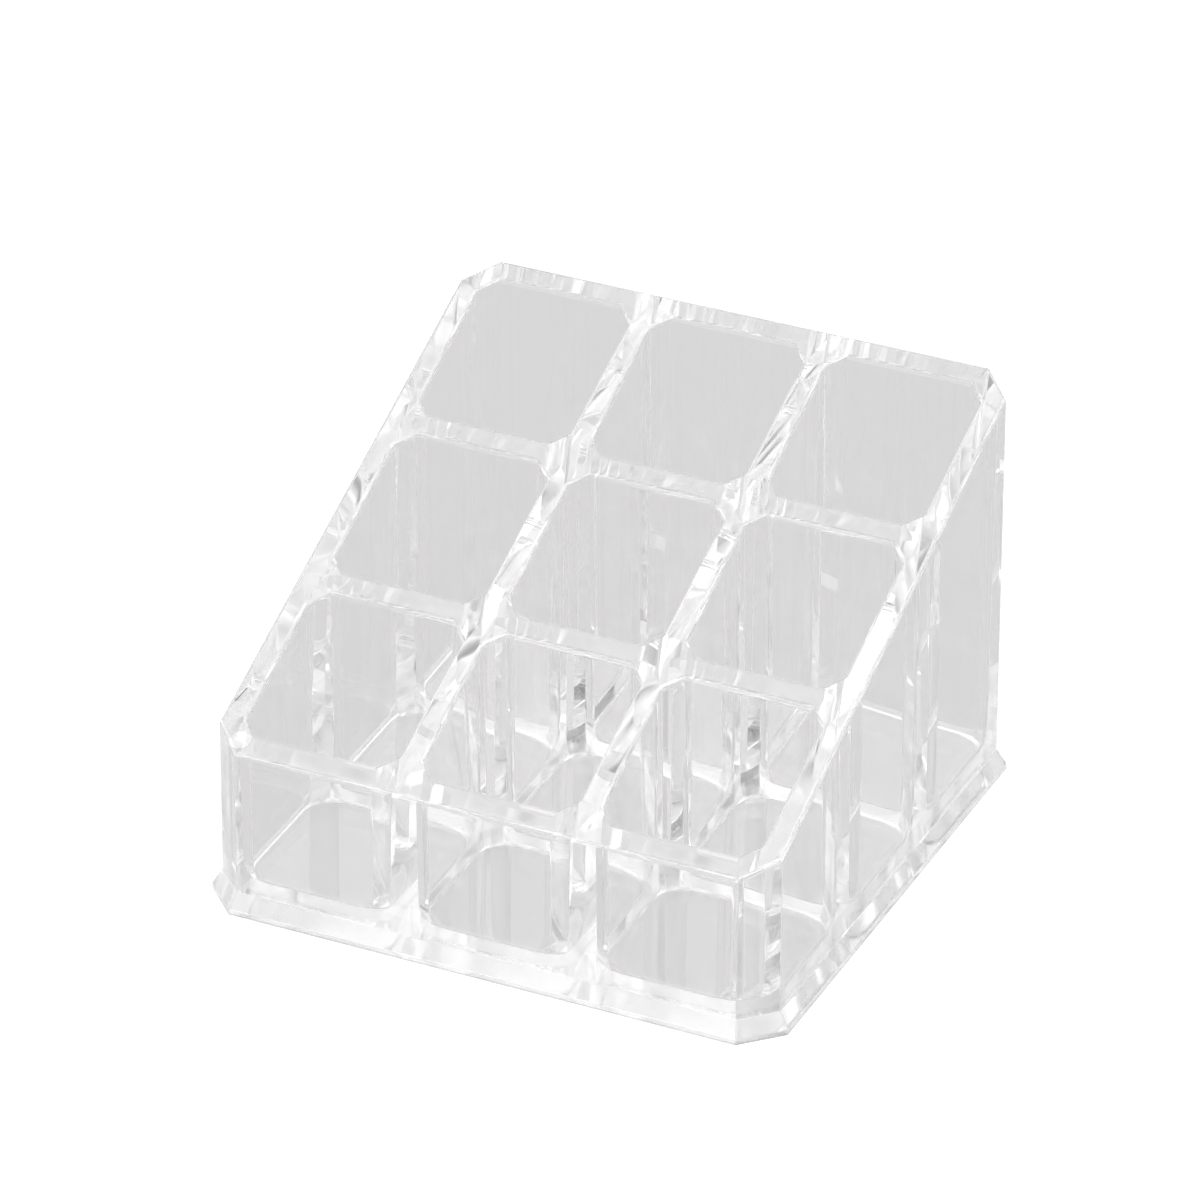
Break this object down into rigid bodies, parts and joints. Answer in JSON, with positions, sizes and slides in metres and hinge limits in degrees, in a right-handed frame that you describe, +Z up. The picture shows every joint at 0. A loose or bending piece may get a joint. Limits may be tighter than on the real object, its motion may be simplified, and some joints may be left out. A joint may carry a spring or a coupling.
{
  "type": "vanity organizer",
  "caption": "Square clear plastic vanity organizer: a grid of deep pockets for lipsticks under a slanted rim that rises to the back, on a bevelled base plate.",
  "frame": {"origin": "centre of the underside, on the surface that the organizer stands on", "axes": "+Z up, -Y towards the low front side, +X to the right as seen from the front"},
  "size_m": [0.093, 0.093, 0.0655],
  "materials": {
    "clear_body": "polished, clear",
    "clear_base": "polished, clear"
  },
  "bodies": {
    "root": {"pocket_body": "clear_body", "base_plate": "clear_base"}
  },
  "joints": []
}
